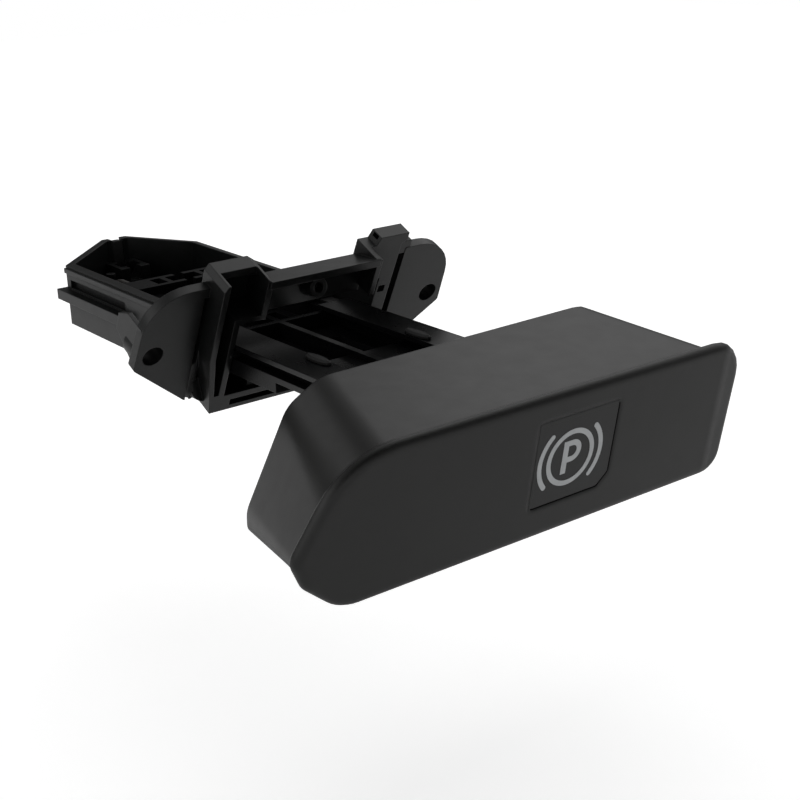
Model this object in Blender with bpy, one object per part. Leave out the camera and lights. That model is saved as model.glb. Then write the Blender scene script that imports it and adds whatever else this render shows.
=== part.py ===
# Parking brake release handle
#
# A hollow grip on a nylon slide that runs in a bracket with two tilted fixing ears.
# The release cable hooks into the crosshead at the slide's tail and leaves by the notch
# in the pointed end of the tray. The driver pulls the grip along -Y; +Z is up.
# The origin is midway between the two fixing holes, on the front face of the ears.
import math

import bmesh
import bpy
from mathutils import Vector

MM = 0.001
GAP = 0.3 * MM
EPS = 0.5 * MM

# Tilt of the ears and of the front panel, both leaning back at the bottom
EAR_TILT = math.radians(26.0)
PANEL_TILT = math.radians(10.8)

# Grip: front panel frame and its outline as corner, corner, radius
PANEL_AT = Vector((4.1 * MM, -81.3 * MM, -8.7 * MM))
PANEL_CORNERS = [
    (49.5, 13.9, 8.0), (-46.9, 14.5, 17.0), (-56.5, -3.0, 3.4), (-53.6, -8.9, 6.0),
    (-45.8, -15.7, 10.0), (49.3, -16.2, 4.8),
]
PANEL_ROUND = 1.5 * MM
PANEL_LIP = 1.2 * MM
PANEL_THICK = PANEL_ROUND + PANEL_LIP
PANEL_PULL = 0.35 * MM
GRIP_WALL = PANEL_THICK - EPS
SHELL_FRONT = [
    (47.0, 12.2, 7.0), (-41.3, 12.7, 14.0), (-48.5, 7.6, 14.0), (-54.4, -6.0, 2.4),
    (-50.8, -10.2, 6.0), (-44.2, -14.6, 9.0), (47.0, -14.9, 4.0),
]
SHELL_REAR = [
    (43.4, 6.3, 5.5), (-27.0, 5.7, 12.0), (-34.6, 1.6, 8.0), (-44.5, -16.2, 6.0),
    (-44.8, -19.8, 2.0), (-43.3, -21.4, 1.6), (43.4, -21.6, 3.0),
]
GRIP_REAR_Y = -46.5 * MM
GRIP_REAR_ROUND = 1.6 * MM
BOSS_TOP_FRONT = 3.0 * MM
BOSS_TOP_REAR = 4.0 * MM

# Symbol insert: its outline on the panel and the depth of its pocket
INSERT_CORNERS = [
    (14.9, 8.7, 0.6), (-4.5, 8.7, 0.6), (-4.5, -8.7, 0.6), (12.4, -8.7, 0.8), (14.9, -6.2, 0.8),
]
INSERT_DEEP = 0.9 * MM
INSERT_SUNK = 0.05 * MM

# Slide: rails, floor and tail
RAIL_OUT = 19.6 * MM
RAIL_OVERHANG = 2.4 * MM
WEB_THICK = 2.2 * MM
RAIL_INWARD = 3.7 * MM
WEB_OUT = RAIL_OUT - RAIL_OVERHANG
WEB_IN = WEB_OUT - WEB_THICK
RAIL_IN = WEB_IN - RAIL_INWARD
RAIL_FLANGE = 1.1 * MM
RAIL_GROOVE_LOW = 3.3 * MM
SLIDE_DEEP = 6.9 * MM
SLIDE_SHALLOW = 4.6 * MM
SLIDE_FLOOR = 1.7 * MM
RIB_TOP = 1.5 * MM
RIB_HALF = 0.8 * MM
SLIDE_FRONT_Y = -75.5 * MM
SLIDE_STEP_Y = -20.0 * MM
RAIL_END_Y = 9.0 * MM
TAIL_HALF = WEB_IN - EPS
TAIL_WALL = 1.8 * MM
TAIL_END_Y = 46.9 * MM
CROSS_RIB = 1.8 * MM
FLOOR_WINDOWS = ((-14.0, -1.0), (13.0, 26.0))
FLOOR_WINDOW_MARGIN = 0.9 * MM

# Travel of the handle
STROKE = 28.0 * MM

# Bracket frame on the ear plane: x, height along the plane, depth behind it
FRAME_FRONT = -4.8 * MM
FRAME_BACK = 3.6 * MM
OPEN_HALF = RAIL_OUT + GAP
POST_WIDE = 5.5 * MM
FRAME_OUT = OPEN_HALF + POST_WIDE
POST_STEP = 1.8 * MM
POST_OUT = FRAME_OUT - POST_STEP
OPEN_TOP = 8.0 * MM
OPEN_LOW = -12.0 * MM
FRAME_LOW = -16.4 * MM
FRAME_TOP = 17.6 * MM
TAB_TOP = 19.0 * MM
RELIEF_LOW = -9.5 * MM
NECK_STEP = 6.4 * MM
NECK_HALF = OPEN_HALF - NECK_STEP
FRAME_WALL = 1.4 * MM
POST_FOOT_IN = 2.6 * MM
TAB_IN = 0.8 * MM
TAB_WIDE = 7.8 * MM
POST_PIT_UP = 4.6 * MM
PIT_HALF = 0.9 * MM
BAR_TOP = 14.0 * MM
BAR_FRONT_Y = -12.3 * MM
BAR_BACK_Y = -3.8 * MM
BAR_THICK = 1.7 * MM

# Ears
EAR_REACH = 15.2 * MM
EAR_OUT = FRAME_OUT + EAR_REACH
EAR_TOP = 15.3 * MM
EAR_ROUND = 10.4 * MM
EAR_TAPER = 1.2 * MM
EAR_SHOULDER = -3.0 * MM
EAR_FOOT = -15.4 * MM
EAR_FOOT_OUT = FRAME_OUT + 1.2 * MM
EAR_THICK = 2.4 * MM
EAR_RIM = 1.7 * MM
EAR_RIM_DEPTH = 6.5 * MM
EAR_SIDE_DEPTH = 10.0 * MM
EAR_HOLE_X = EAR_OUT - 4.1 * MM
EAR_HOLE_R = 2.4 * MM
EAR_COLLAR = 1.4 * MM
EAR_SLOT = 1.7 * MM
EAR_ROOT_LEFT = FRAME_OUT - 0.8 * MM
EAR_ROOT_RIGHT = POST_OUT + EAR_SLOT

# Tunnel behind the frame and the tray behind the tunnel
TUNNEL_END_Y = 14.0 * MM
TUNNEL_TOP = 2.0 * MM
TUNNEL_FLOOR_TOP = -12.7 * MM
TUNNEL_FLOOR_LOW = -14.5 * MM
RUNNER_WIDE = 2.0 * MM
TRAY_FRONT_Y = TUNNEL_END_Y + GAP
TRAY_PLATE = 2.5 * MM
TRAY_WALL = 2.0 * MM
HEAD_HALF = TAIL_HALF + 2.1 * MM
HEAD_SIDE_GAP = 0.6 * MM
TRAY_HALF = HEAD_HALF + HEAD_SIDE_GAP + TRAY_WALL
TRAY_FLOOR_LOW = -13.4 * MM
TRAY_FLOOR = 1.8 * MM
TRAY_RIM = 2.0 * MM
TRAY_FLANGE = 2.4 * MM
TRAY_BEAD = 0.7 * MM
HEAD_FRONT_Y = TAIL_END_Y + GAP
HEAD_LONG = 8.0 * MM
HEAD_BACK_Y = HEAD_FRONT_Y + HEAD_LONG
TRAY_CORNER_Y = HEAD_BACK_Y + 22.5 * MM
TRAY_POINT_Y = TRAY_CORNER_Y + 10.9 * MM
TRAY_POINT_HALF = 3.4 * MM
FLANGE_FRONT_Y = TAIL_END_Y - 2.9 * MM
FLANGE_BACK_Y = TRAY_CORNER_Y + 1.3 * MM
FLANGE_LOW = -6.5 * MM
FLANGE_HIGH = 2.6 * MM
GROOVE_LOW = -3.4 * MM
GROOVE_HIGH = 2.0 * MM
TRAY_PEAK = 4.2 * MM
NOTCH_HALF = 1.6 * MM
NOTCH_LOW = -5.0 * MM

# Crosshead at the tail's end
HEAD_TOP = 0.8 * MM
HEAD_LOW = -9.4 * MM
CABLE_Z = -3.4 * MM
CABLE_SLOT_HALF = 1.2 * MM
NIPPLE_HALF = 4.2 * MM
NIPPLE_WALL = 1.7 * MM
NIPPLE_DEEP = 3.2 * MM
CORE_WIDE = 2.8 * MM
CORE_WALL = 1.6 * MM
CORE_LOW = HEAD_LOW + 2.0 * MM
EYE_HALF = 1.0 * MM
EYE_LONG = 3.4 * MM
EYE_HOLE_R = 0.9 * MM
EYE_HOLE_Y = HEAD_BACK_Y + 1.9 * MM

# Fasteners
SCREW_R = 1.3 * MM
SCREW_HOLE_R = 1.6 * MM
SCREW_HEAD_R = 2.9 * MM
SCREW_HEAD_H = 1.8 * MM
BOSS_R = 3.5 * MM
GRIP_BOSSES = [(-7.0, -69.5), (7.0, -69.5), (-7.0, -52.0), (7.0, -52.0)]
HEAD_SCREW_X = TAIL_HALF - 3.0 * MM
END_BOSS_HALF = 2.8 * MM
END_BOSS_LONG = 9.0 * MM
TRAY_SCREW_X = TRAY_HALF + SCREW_HEAD_R + 0.6 * MM
TRAY_SCREW_TOP = -0.8 * MM
TRAY_SCREW_LOW = -11.2 * MM
TRAY_SCREWS = [
    (-TRAY_SCREW_X, TRAY_SCREW_TOP), (TRAY_SCREW_X, TRAY_SCREW_TOP),
    (-TRAY_SCREW_X, TRAY_SCREW_LOW), (TRAY_SCREW_X, TRAY_SCREW_LOW),
]
TRAY_BOSS_R = 3.1 * MM
TRAY_BOSS_LONG = 9.45 * MM
CARRIAGE_SCREW_LONG = 5.4 * MM
HEAD_SCREW_LONG = 13.0 * MM
TRAY_SCREW_LONG = 9.0 * MM

# Soft parts
PAD_X = RAIL_IN + 1.6 * MM
PAD_Y = -26.0 * MM
PAD_HALF_WIDE = 1.3 * MM
PAD_HALF_LONG = 4.2 * MM
PAD_TOP = 1.0 * MM

# Return spring
SPRING_X = -HEAD_SCREW_X + SCREW_HEAD_R + 1.4 * MM
SPRING_Z = -5.8 * MM
SPRING_R = 2.6 * MM
SPRING_WIRE_R = 0.4 * MM
SPRING_COILS = 13
SPRING_POST_Y = HEAD_BACK_Y + 22.0 * MM
SPRING_POST_R = 1.2 * MM
SPRING_POST_LONG = 10.5 * MM

# Seat of the cable's sheath at the tray's point
SEAT_HALF = 4.2 * MM
SEAT_FRONT_Y = TRAY_CORNER_Y - 0.7 * MM
SEAT_BACK_Y = SEAT_FRONT_Y + 9.0 * MM
SEAT_TOP = -1.6 * MM
SHEATH_R = 3.0 * MM
SHEATH_FRONT_Y = SEAT_FRONT_Y + 2.4 * MM
SHEATH_LONG = 4.6 * MM
CABLE_WAY_R = 1.6 * MM


def clear_scene():
    for obj in list(bpy.data.objects):
        bpy.data.objects.remove(obj, do_unlink=True)


def material(name, colour, roughness, metallic=0.0):
    mat = bpy.data.materials.new(name)
    mat.use_nodes = True
    shader = mat.node_tree.nodes["Principled BSDF"]
    shader.inputs["Base Color"].default_value = (*colour, 1.0)
    shader.inputs["Roughness"].default_value = roughness
    shader.inputs["Metallic"].default_value = metallic
    mat.diffuse_color = (*colour, 1.0)
    return mat


def rounded(corners, steps=6):
    """Corner points in mm with a radius each -> points in metres, the same count for each corner."""
    out = []
    count = len(corners)
    for i, (x, y, radius) in enumerate(corners):
        here = Vector((x, y))
        before = (Vector(corners[i - 1][:2]) - here).normalized()
        after = (Vector(corners[(i + 1) % count][:2]) - here).normalized()
        half = before.angle(after) / 2
        reach = radius / math.tan(half)
        start = here + before * reach
        end = here + after * reach
        middle = here + (before + after).normalized() * radius / math.sin(half)
        a = start - middle
        b = end - middle
        turn = a.angle(b)
        for k in range(steps + 1):
            t = k / steps
            p = middle + (a * math.sin((1 - t) * turn) + b * math.sin(t * turn)) / math.sin(turn)
            out.append((p.x * MM, p.y * MM))
    return out


def mesh_object(name, verts, faces):
    mesh = bpy.data.meshes.new(name)
    mesh.from_pydata([tuple(v) for v in verts], [], faces)
    work = bmesh.new()
    work.from_mesh(mesh)
    bmesh.ops.recalc_face_normals(work, faces=work.faces)
    work.to_mesh(mesh)
    work.free()
    obj = bpy.data.objects.new(name, mesh)
    bpy.context.scene.collection.objects.link(obj)
    return obj


def loft(name, rings):
    """A closed solid through rings that all have the same number of points."""
    size = len(rings[0])
    verts = [v for ring in rings for v in ring]
    faces = [list(range(size))[::-1]]
    for r in range(len(rings) - 1):
        low = r * size
        high = low + size
        for i in range(size):
            j = (i + 1) % size
            faces.append([low + i, low + j, high + j, high + i])
    last = (len(rings) - 1) * size
    faces.append([last + i for i in range(size)])
    return mesh_object(name, verts, faces)


def ear_point(x, height, depth):
    """A point given on the ears' plane: across, up along the plane, depth behind it."""
    c = math.cos(EAR_TILT)
    s = math.sin(EAR_TILT)
    return Vector((x, depth * c - height * s, depth * s + height * c))


def panel_point(x, height, depth):
    """A point given on the front panel's plane."""
    c = math.cos(PANEL_TILT)
    s = math.sin(PANEL_TILT)
    base = Vector((0.0, PANEL_AT.y, PANEL_AT.z))
    return base + Vector((x, depth * c - height * s, depth * s + height * c))


def ear_prism(name, outline, near, far):
    front = [ear_point(x, h, near) for x, h in outline]
    back = [ear_point(x, h, far) for x, h in outline]
    return loft(name, [front, back])


def side_prism(name, outline, x0, x1):
    """An outline in Y and Z, drawn out across X."""
    return loft(name, [[Vector((x0, y, z)) for y, z in outline], [Vector((x1, y, z)) for y, z in outline]])


def cross_prism(name, outline, y0, y1):
    """An outline in X and Z, drawn out along Y."""
    return loft(name, [[Vector((x, y0, z)) for x, z in outline], [Vector((x, y1, z)) for x, z in outline]])


def plan_prism(name, outline, z0, z1):
    """An outline in X and Y, drawn up along Z."""
    return loft(name, [[Vector((x, y, z0)) for x, y in outline], [Vector((x, y, z1)) for x, y in outline]])


def box(name, x0, x1, y0, y1, z0, z1):
    return plan_prism(name, [(x0, y0), (x1, y0), (x1, y1), (x0, y1)], z0, z1)


def turned(name, centre, axis, stations, sides=20):
    """A solid of revolution: stations are distance along the axis and radius."""
    axis = Vector(axis).normalized()
    across = axis.orthogonal().normalized()
    other = axis.cross(across)
    rings = []
    for along, radius in stations:
        ring = []
        for i in range(sides):
            turn = 2 * math.pi * i / sides
            out = across * math.cos(turn) + other * math.sin(turn)
            ring.append(Vector(centre) + axis * along + out * radius)
        rings.append(ring)
    obj = loft(name, rings)
    shade_round(obj)
    return obj


def shade_round(obj):
    for face in obj.data.polygons:
        face.use_smooth = len(face.vertices) <= 4


def mirrored(outline):
    return [(-x, y) for x, y in reversed(outline)]


def combine(target, tools, operation):
    """Apply a Boolean with each tool in turn and remove the tools."""
    for tool in tools:
        tool.hide_render = True
        tool.display_type = "WIRE"
        modifier = target.modifiers.new(operation.title(), "BOOLEAN")
        modifier.operation = operation
        modifier.solver = "EXACT"
        modifier.object = tool
        bpy.context.view_layer.update()
        graph = bpy.context.evaluated_depsgraph_get()
        mesh = bpy.data.meshes.new_from_object(target.evaluated_get(graph))
        target.modifiers.clear()
        old = target.data
        target.data = mesh
        mesh.name = target.name
        bpy.data.meshes.remove(old)
        bpy.data.objects.remove(tool, do_unlink=True)
    return target


def tidy(obj):
    """Weld stray points and drop the flat leftovers of the Booleans."""
    work = bmesh.new()
    work.from_mesh(obj.data)
    bmesh.ops.remove_doubles(work, verts=work.verts, dist=0.00001)
    bmesh.ops.dissolve_degenerate(work, dist=0.00001, edges=work.edges)
    loose = [e for e in work.edges if not e.link_faces]
    bmesh.ops.delete(work, geom=loose, context="EDGES")
    stray = [v for v in work.verts if not v.link_edges]
    bmesh.ops.delete(work, geom=stray, context="VERTS")
    bmesh.ops.recalc_face_normals(work, faces=work.faces)
    work.to_mesh(obj.data)
    work.free()
    return obj


def dress(obj, mat):
    obj.data.materials.clear()
    obj.data.materials.append(mat)
    for face in obj.data.polygons:
        face.material_index = 0
    return obj


def inset(outline, distance):
    """Move every side of an outline in by the same distance."""
    pts = [Vector(p) for p in outline]
    area = 0.0
    for i, p in enumerate(pts):
        q = pts[(i + 1) % len(pts)]
        area += p.x * q.y - q.x * p.y
    side = 1.0 if area > 0 else -1.0
    out = []
    for i, p in enumerate(pts):
        a = (p - pts[i - 1]).normalized()
        b = (pts[(i + 1) % len(pts)] - p).normalized()
        na = Vector((-a.y, a.x)) * side
        nb = Vector((-b.y, b.x)) * side
        n = (na + nb).normalized()
        out.append(tuple(p + n * distance / max(n.dot(na), 0.3)))
    return out


def shell_depth(ring_front, ring_rear, share):
    return [a.lerp(b, share) for a, b in zip(ring_front, ring_rear)]


def shell_rings(grow):
    """The grip's body behind the panel, front ring and rear ring, shrunk by grow."""
    front = inset(rounded(SHELL_FRONT), grow)
    rear = inset(rounded(SHELL_REAR), grow)
    near = [panel_point(x, h, PANEL_THICK - EPS) for x, h in front]
    far = [Vector((x, GRIP_REAR_Y, z)) for x, z in rear]
    return near, far


def grip_panel():
    """The front panel: its edge is a rounded bead that stands proud of the body behind it."""
    outline = rounded(PANEL_CORNERS)
    profile = []
    for k in range(5):
        turn = math.pi / 2 * k / 4
        profile.append((PANEL_ROUND * (1 - math.cos(turn)), PANEL_ROUND * (1 - math.sin(turn))))
    profile.append((PANEL_ROUND + PANEL_LIP / 2, PANEL_PULL))
    profile.append((PANEL_THICK, PANEL_LIP))
    rings = [[panel_point(x, h, depth) for x, h in inset(outline, pull)] for depth, pull in profile]
    return loft("grip_cover", rings)


def grip_body():
    """The body tapers to the rear and its rear edge is rounded."""
    near, far = shell_rings(0.0)
    soft = GRIP_REAR_ROUND
    rings = [near]
    length = abs(GRIP_REAR_Y - near[0].y)
    rings.append(shell_depth(near, far, 1.0 - soft / length))
    _, tight = shell_rings(soft * 0.3)
    rings.append(shell_depth(near, tight, 1.0 - soft * 0.3 / length))
    _, tighter = shell_rings(soft)
    rings.append(tighter)
    return loft("grip_body", rings)


def grip_hollow():
    """The finger space: the body's inside, carried on down through the open underside."""
    near, far = shell_rings(GRIP_WALL)
    inner_front = [p.copy() for p in near]
    length = GRIP_REAR_Y - PANEL_AT.y
    share = 1.0 - GRIP_WALL / length
    inner_rear = shell_depth(near, far, share)
    return loft("grip_hollow", [inner_front, inner_rear])


def grip_underside():
    """Cuts the underside away between the walls."""
    left_rear = SHELL_REAR[5][0] * MM + 0.9 * GRIP_WALL
    right_rear = SHELL_REAR[0][0] * MM - GRIP_WALL
    left_front = SHELL_FRONT[4][0] * MM + GRIP_WALL
    right_front = SHELL_FRONT[0][0] * MM - GRIP_WALL
    rear_y = GRIP_REAR_Y - GRIP_WALL
    rings = []
    for height, z in ((-30.0 * MM, -40.0 * MM), (-6.0 * MM, -13.0 * MM)):
        rings.append([
            panel_point(left_front, height, PANEL_THICK - GAP),
            panel_point(right_front, height, PANEL_THICK - GAP),
            Vector((right_rear, rear_y, z)), Vector((left_rear, rear_y, z)),
        ])
    return loft("grip_underside", rings)


def insert_outline(clearance):
    return inset(rounded(INSERT_CORNERS, 3), -clearance)


def grip_cover(mat):
    cover = grip_panel()
    combine(cover, [grip_body()], "UNION")
    combine(cover, [grip_hollow(), grip_underside()], "DIFFERENCE")
    pocket = insert_outline(GAP)
    rings = [[panel_point(x, h, d) for x, h in pocket] for d in (-MM, INSERT_DEEP)]
    combine(cover, [loft("insert_pocket", rings)], "DIFFERENCE")
    window_half = RAIL_OUT + GAP
    window = box("slide_window", -window_half, window_half, GRIP_REAR_Y - 2 * GRIP_WALL,
                 GRIP_REAR_Y + 2 * GRIP_WALL, -SLIDE_SHALLOW - GAP, GAP)
    combine(cover, [window], "DIFFERENCE")
    posts = []
    holes = []
    for x, y in GRIP_BOSSES:
        base = -SLIDE_SHALLOW + SLIDE_FLOOR + GAP
        top = BOSS_TOP_REAR if y > -60.0 else BOSS_TOP_FRONT
        posts.append(turned("boss", (x * MM, y * MM, base), (0, 0, 1), [(0, BOSS_R), (top - base, BOSS_R)]))
        holes.append(turned("hole", (x * MM, y * MM, base - EPS), (0, 0, 1),
                            [(0, SCREW_HOLE_R), (top - base, SCREW_HOLE_R)], 16))
    combine(cover, posts, "UNION")
    combine(cover, holes, "DIFFERENCE")
    return dress(tidy(cover), mat)


def symbol_insert(mat):
    outline = insert_outline(0.0)
    rings = [[panel_point(x, h, d) for x, h in outline] for d in (INSERT_SUNK, INSERT_DEEP - GAP)]
    return dress(loft("symbol_insert", rings), mat)


def slide_half(floor_low, wide):
    """Half of the slide's cross-section, from the middle rib outwards."""
    floor_top = floor_low + SLIDE_FLOOR
    points = [(0.0, -RIB_TOP), (RIB_HALF, -RIB_TOP), (RIB_HALF, floor_top)]
    if wide:
        points += [
            (WEB_IN, floor_top), (WEB_IN, -RAIL_FLANGE), (RAIL_IN, -RAIL_FLANGE), (RAIL_IN, 0.0),
            (RAIL_OUT, 0.0), (RAIL_OUT, -RAIL_FLANGE), (WEB_OUT, -RAIL_FLANGE),
            (WEB_OUT, -RAIL_GROOVE_LOW), (RAIL_OUT, -RAIL_GROOVE_LOW), (RAIL_OUT, floor_low),
        ]
    else:
        points += [
            (TAIL_HALF - TAIL_WALL, floor_top), (TAIL_HALF - TAIL_WALL, -RAIL_FLANGE),
            (TAIL_HALF, -RAIL_FLANGE), (TAIL_HALF, floor_low),
        ]
    return points


def slide_section(floor_low, wide):
    half = slide_half(floor_low, wide)
    return half + [(-x, z) for x, z in reversed(half[1:])]


def slide_carriage(mat):
    slide = cross_prism("slide_carriage", slide_section(-SLIDE_SHALLOW, True),
                        SLIDE_FRONT_Y, SLIDE_STEP_Y + EPS)
    deep = cross_prism("deep", slide_section(-SLIDE_DEEP, True), SLIDE_STEP_Y, RAIL_END_Y)
    tail = cross_prism("tail", slide_section(-SLIDE_DEEP, False), RAIL_END_Y - EPS, TAIL_END_Y)
    riser = box("riser", -WEB_IN - EPS, WEB_IN + EPS, SLIDE_STEP_Y, SLIDE_STEP_Y + CROSS_RIB,
                -SLIDE_DEEP + 0.1 * MM, -SLIDE_SHALLOW + 1.0 * MM)
    nose = box("nose", -WEB_IN - EPS, WEB_IN + EPS, SLIDE_FRONT_Y, SLIDE_FRONT_Y + CROSS_RIB,
               -SLIDE_SHALLOW + 0.1 * MM, -RIB_TOP)
    shoulder = box("shoulder", -WEB_IN - EPS, WEB_IN + EPS, RAIL_END_Y - CROSS_RIB, RAIL_END_Y - 0.1 * MM,
                   -SLIDE_DEEP + 0.1 * MM, -RIB_TOP)
    ends = []
    for side in (-1, 1):
        x = side * HEAD_SCREW_X
        ends.append(box("end_boss", x - END_BOSS_HALF, x + END_BOSS_HALF,
                        TAIL_END_Y - END_BOSS_LONG, TAIL_END_Y - 0.05 * MM,
                        -SLIDE_DEEP + 0.2 * MM, -RAIL_FLANGE - 0.1 * MM))
    combine(slide, [deep, tail, riser, nose, shoulder] + ends, "UNION")
    cuts = []
    for x, y in GRIP_BOSSES:
        cuts.append(turned("hole", (x * MM, y * MM, -SLIDE_SHALLOW - 1.0 * MM), (0, 0, 1),
                           [(0, SCREW_HOLE_R), (SLIDE_FLOOR + 1.5 * MM, SCREW_HOLE_R)], 16))
    for side in (-1, 1):
        deep_hole = END_BOSS_LONG - 1.4 * MM
        cuts.append(turned("hole", (side * HEAD_SCREW_X, TAIL_END_Y - deep_hole, CABLE_Z), (0, 1, 0),
                           [(0, SCREW_HOLE_R), (END_BOSS_LONG, SCREW_HOLE_R)], 16))
        for y0, y1 in FLOOR_WINDOWS:
            near, far = sorted((side * 3 * RIB_HALF, side * (RAIL_IN - FLOOR_WINDOW_MARGIN)))
            cuts.append(box("window", near, far, y0 * MM, y1 * MM,
                            -SLIDE_DEEP - MM, -SLIDE_DEEP + SLIDE_FLOOR + MM))
    combine(slide, cuts, "DIFFERENCE")
    return dress(tidy(slide), mat)


def rattle_pads(mat):
    for side, name in ((-1, "rattle_pad_left"), (1, "rattle_pad_right")):
        outline = []
        for i in range(20):
            turn = 2 * math.pi * i / 20
            outline.append((side * PAD_X + PAD_HALF_WIDE * math.cos(turn),
                            PAD_Y + PAD_HALF_LONG * math.sin(turn)))
        top = inset(outline, PAD_TOP / 2)
        rings = [
            [Vector((x, y, GAP / 3)) for x, y in outline],
            [Vector((x, y, PAD_TOP - 0.4 * MM)) for x, y in outline],
            [Vector((x, y, PAD_TOP)) for x, y in top],
        ]
        dress(loft(name, rings), mat)


def ear_square(x, height, half):
    low = height - half
    top = height + half
    return [(x - half, low), (x + half, low), (x + half, top), (x - half, top)]


def frame_outline():
    """Left post hollow and standing proud, right post flush with its ear."""
    post_foot = FRAME_OUT - POST_FOOT_IN
    tab_right = FRAME_OUT - TAB_IN / 2
    tab_left = tab_right - TAB_WIDE
    left = [
        (-NECK_HALF, FRAME_TOP), (-NECK_HALF - 1.9 * MM, TAB_TOP), (-FRAME_OUT + TAB_IN, TAB_TOP),
        (-FRAME_OUT, FRAME_TOP), (-FRAME_OUT, -1.0 * MM), (-post_foot, FRAME_LOW),
    ]
    right = [
        (post_foot, FRAME_LOW), (POST_OUT, RELIEF_LOW), (POST_OUT, FRAME_TOP - TAB_IN),
        (tab_right, FRAME_TOP), (tab_right, TAB_TOP + 0.6 * MM), (tab_left, TAB_TOP + 0.6 * MM),
        (tab_left - TAB_IN, FRAME_TOP), (NECK_HALF, FRAME_TOP),
    ]
    opening = [
        (NECK_HALF, OPEN_TOP), (OPEN_HALF, OPEN_TOP), (OPEN_HALF, OPEN_LOW),
        (-OPEN_HALF, OPEN_LOW), (-OPEN_HALF, OPEN_TOP), (-NECK_HALF, OPEN_TOP),
    ]
    return left + right + opening


def frame_pocket():
    w = FRAME_WALL
    return [
        (NECK_HALF + w, FRAME_TOP - 0.6 * MM), (FRAME_OUT - TAB_IN - w, FRAME_TOP - 0.2 * MM),
        (FRAME_OUT - w, FRAME_TOP - 1.0 * MM), (FRAME_OUT - w, -1.0 * MM),
        (FRAME_OUT - POST_FOOT_IN - GAP, OPEN_LOW + EPS), (OPEN_HALF + w, OPEN_LOW + EPS),
        (OPEN_HALF + w, OPEN_TOP + w), (NECK_HALF + w, OPEN_TOP + w),
    ]


def guide_frame():
    """The stepped frame round the slide, its left post open to the front."""
    frame = ear_prism("guide_bracket", frame_outline(), FRAME_FRONT, FRAME_BACK)
    cuts = [ear_prism("pocket", mirrored(frame_pocket()), FRAME_FRONT - 1.0 * MM, FRAME_BACK - FRAME_WALL)]
    upper = [
        (NECK_HALF + FRAME_WALL, OPEN_TOP + 4.0 * MM), (FRAME_OUT - FRAME_WALL, OPEN_TOP + 4.0 * MM),
        (FRAME_OUT - FRAME_WALL, TAB_TOP + 2.0 * MM), (NECK_HALF + FRAME_WALL, TAB_TOP + 2.0 * MM),
    ]
    cuts.append(ear_prism("roof_cut", mirrored(upper), FRAME_FRONT - 1.0 * MM, -0.2 * MM))
    relief = [
        (NECK_HALF + FRAME_WALL, RELIEF_LOW), (EAR_OUT, RELIEF_LOW),
        (EAR_OUT, TAB_TOP + 3.0 * MM), (NECK_HALF + FRAME_WALL, TAB_TOP + 3.0 * MM),
    ]
    cuts.append(ear_prism("relief", relief, FRAME_FRONT - 1.0 * MM, 0.0))
    post_middle = (OPEN_HALF + POST_OUT) / 2
    cuts.append(ear_prism("post_pit", ear_square(post_middle - 0.4 * MM, POST_PIT_UP, PIT_HALF),
                          FRAME_FRONT - 1.0 * MM, FRAME_BACK - FRAME_WALL))
    tab_left = FRAME_OUT - TAB_IN / 2 - TAB_WIDE
    cuts.append(ear_prism("tab_pit", ear_square(tab_left + EPS, FRAME_TOP + PIT_HALF, PIT_HALF),
                          PIT_HALF, FRAME_BACK - PIT_HALF))
    low_half = OPEN_HALF - 1.9 * MM
    low_foot = FRAME_LOW + 1.2 * MM
    low_head = OPEN_LOW - 1.6 * MM
    low = [(-low_half, low_foot), (low_half, low_foot), (low_half, low_head), (-low_half, low_head)]
    cuts.append(ear_prism("low_pocket", low, FRAME_FRONT - 1.0 * MM, FRAME_FRONT + 3.2 * MM))
    cuts.append(box("passage", -OPEN_HALF, OPEN_HALF, BAR_FRONT_Y, TUNNEL_END_Y, TUNNEL_FLOOR_TOP, 0.0))
    return combine(frame, cuts, "DIFFERENCE")


def crossbar():
    """A thin roof with a back wall under it, between the posts."""
    outline = [
        (BAR_FRONT_Y, BAR_TOP), (BAR_BACK_Y, BAR_TOP), (-0.6 * MM, 5.4 * MM), (-2.9 * MM, 5.4 * MM),
        (-5.9 * MM, BAR_TOP - BAR_THICK), (BAR_FRONT_Y + 0.7 * MM, BAR_TOP - BAR_THICK),
    ]
    reach = NECK_HALF + 0.7 * MM
    bar = side_prism("bar", outline, -reach, reach)
    boss = turned("bar_boss", (0.0, -4.0 * MM, 9.6 * MM), (0, -1, 0),
                  [(0, 2.5 * MM), (4.4 * MM, 2.2 * MM)], 24)
    combine(bar, [boss], "UNION")
    pit = turned("bar_pit", (0.0, -6.0 * MM, 9.6 * MM), (0, -1, 0),
                 [(0, 1.2 * MM), (4.0 * MM, 1.2 * MM)], 16)
    return combine(bar, [pit], "DIFFERENCE")


def ear_outline(root):
    """The ear's edge, with its straight inner side at the given distance from the middle."""
    corners = [
        (root, EAR_TOP, EPS), (EAR_OUT - EAR_TAPER, EAR_TOP, EAR_ROUND), (EAR_OUT, EAR_SHOULDER, 2 * EPS),
        (EAR_FOOT_OUT, EAR_FOOT, 2 * EPS), (root, EAR_FOOT, EPS),
    ]
    return rounded([(x / MM, h / MM, radius / MM) for x, h, radius in corners], 8)


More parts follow.
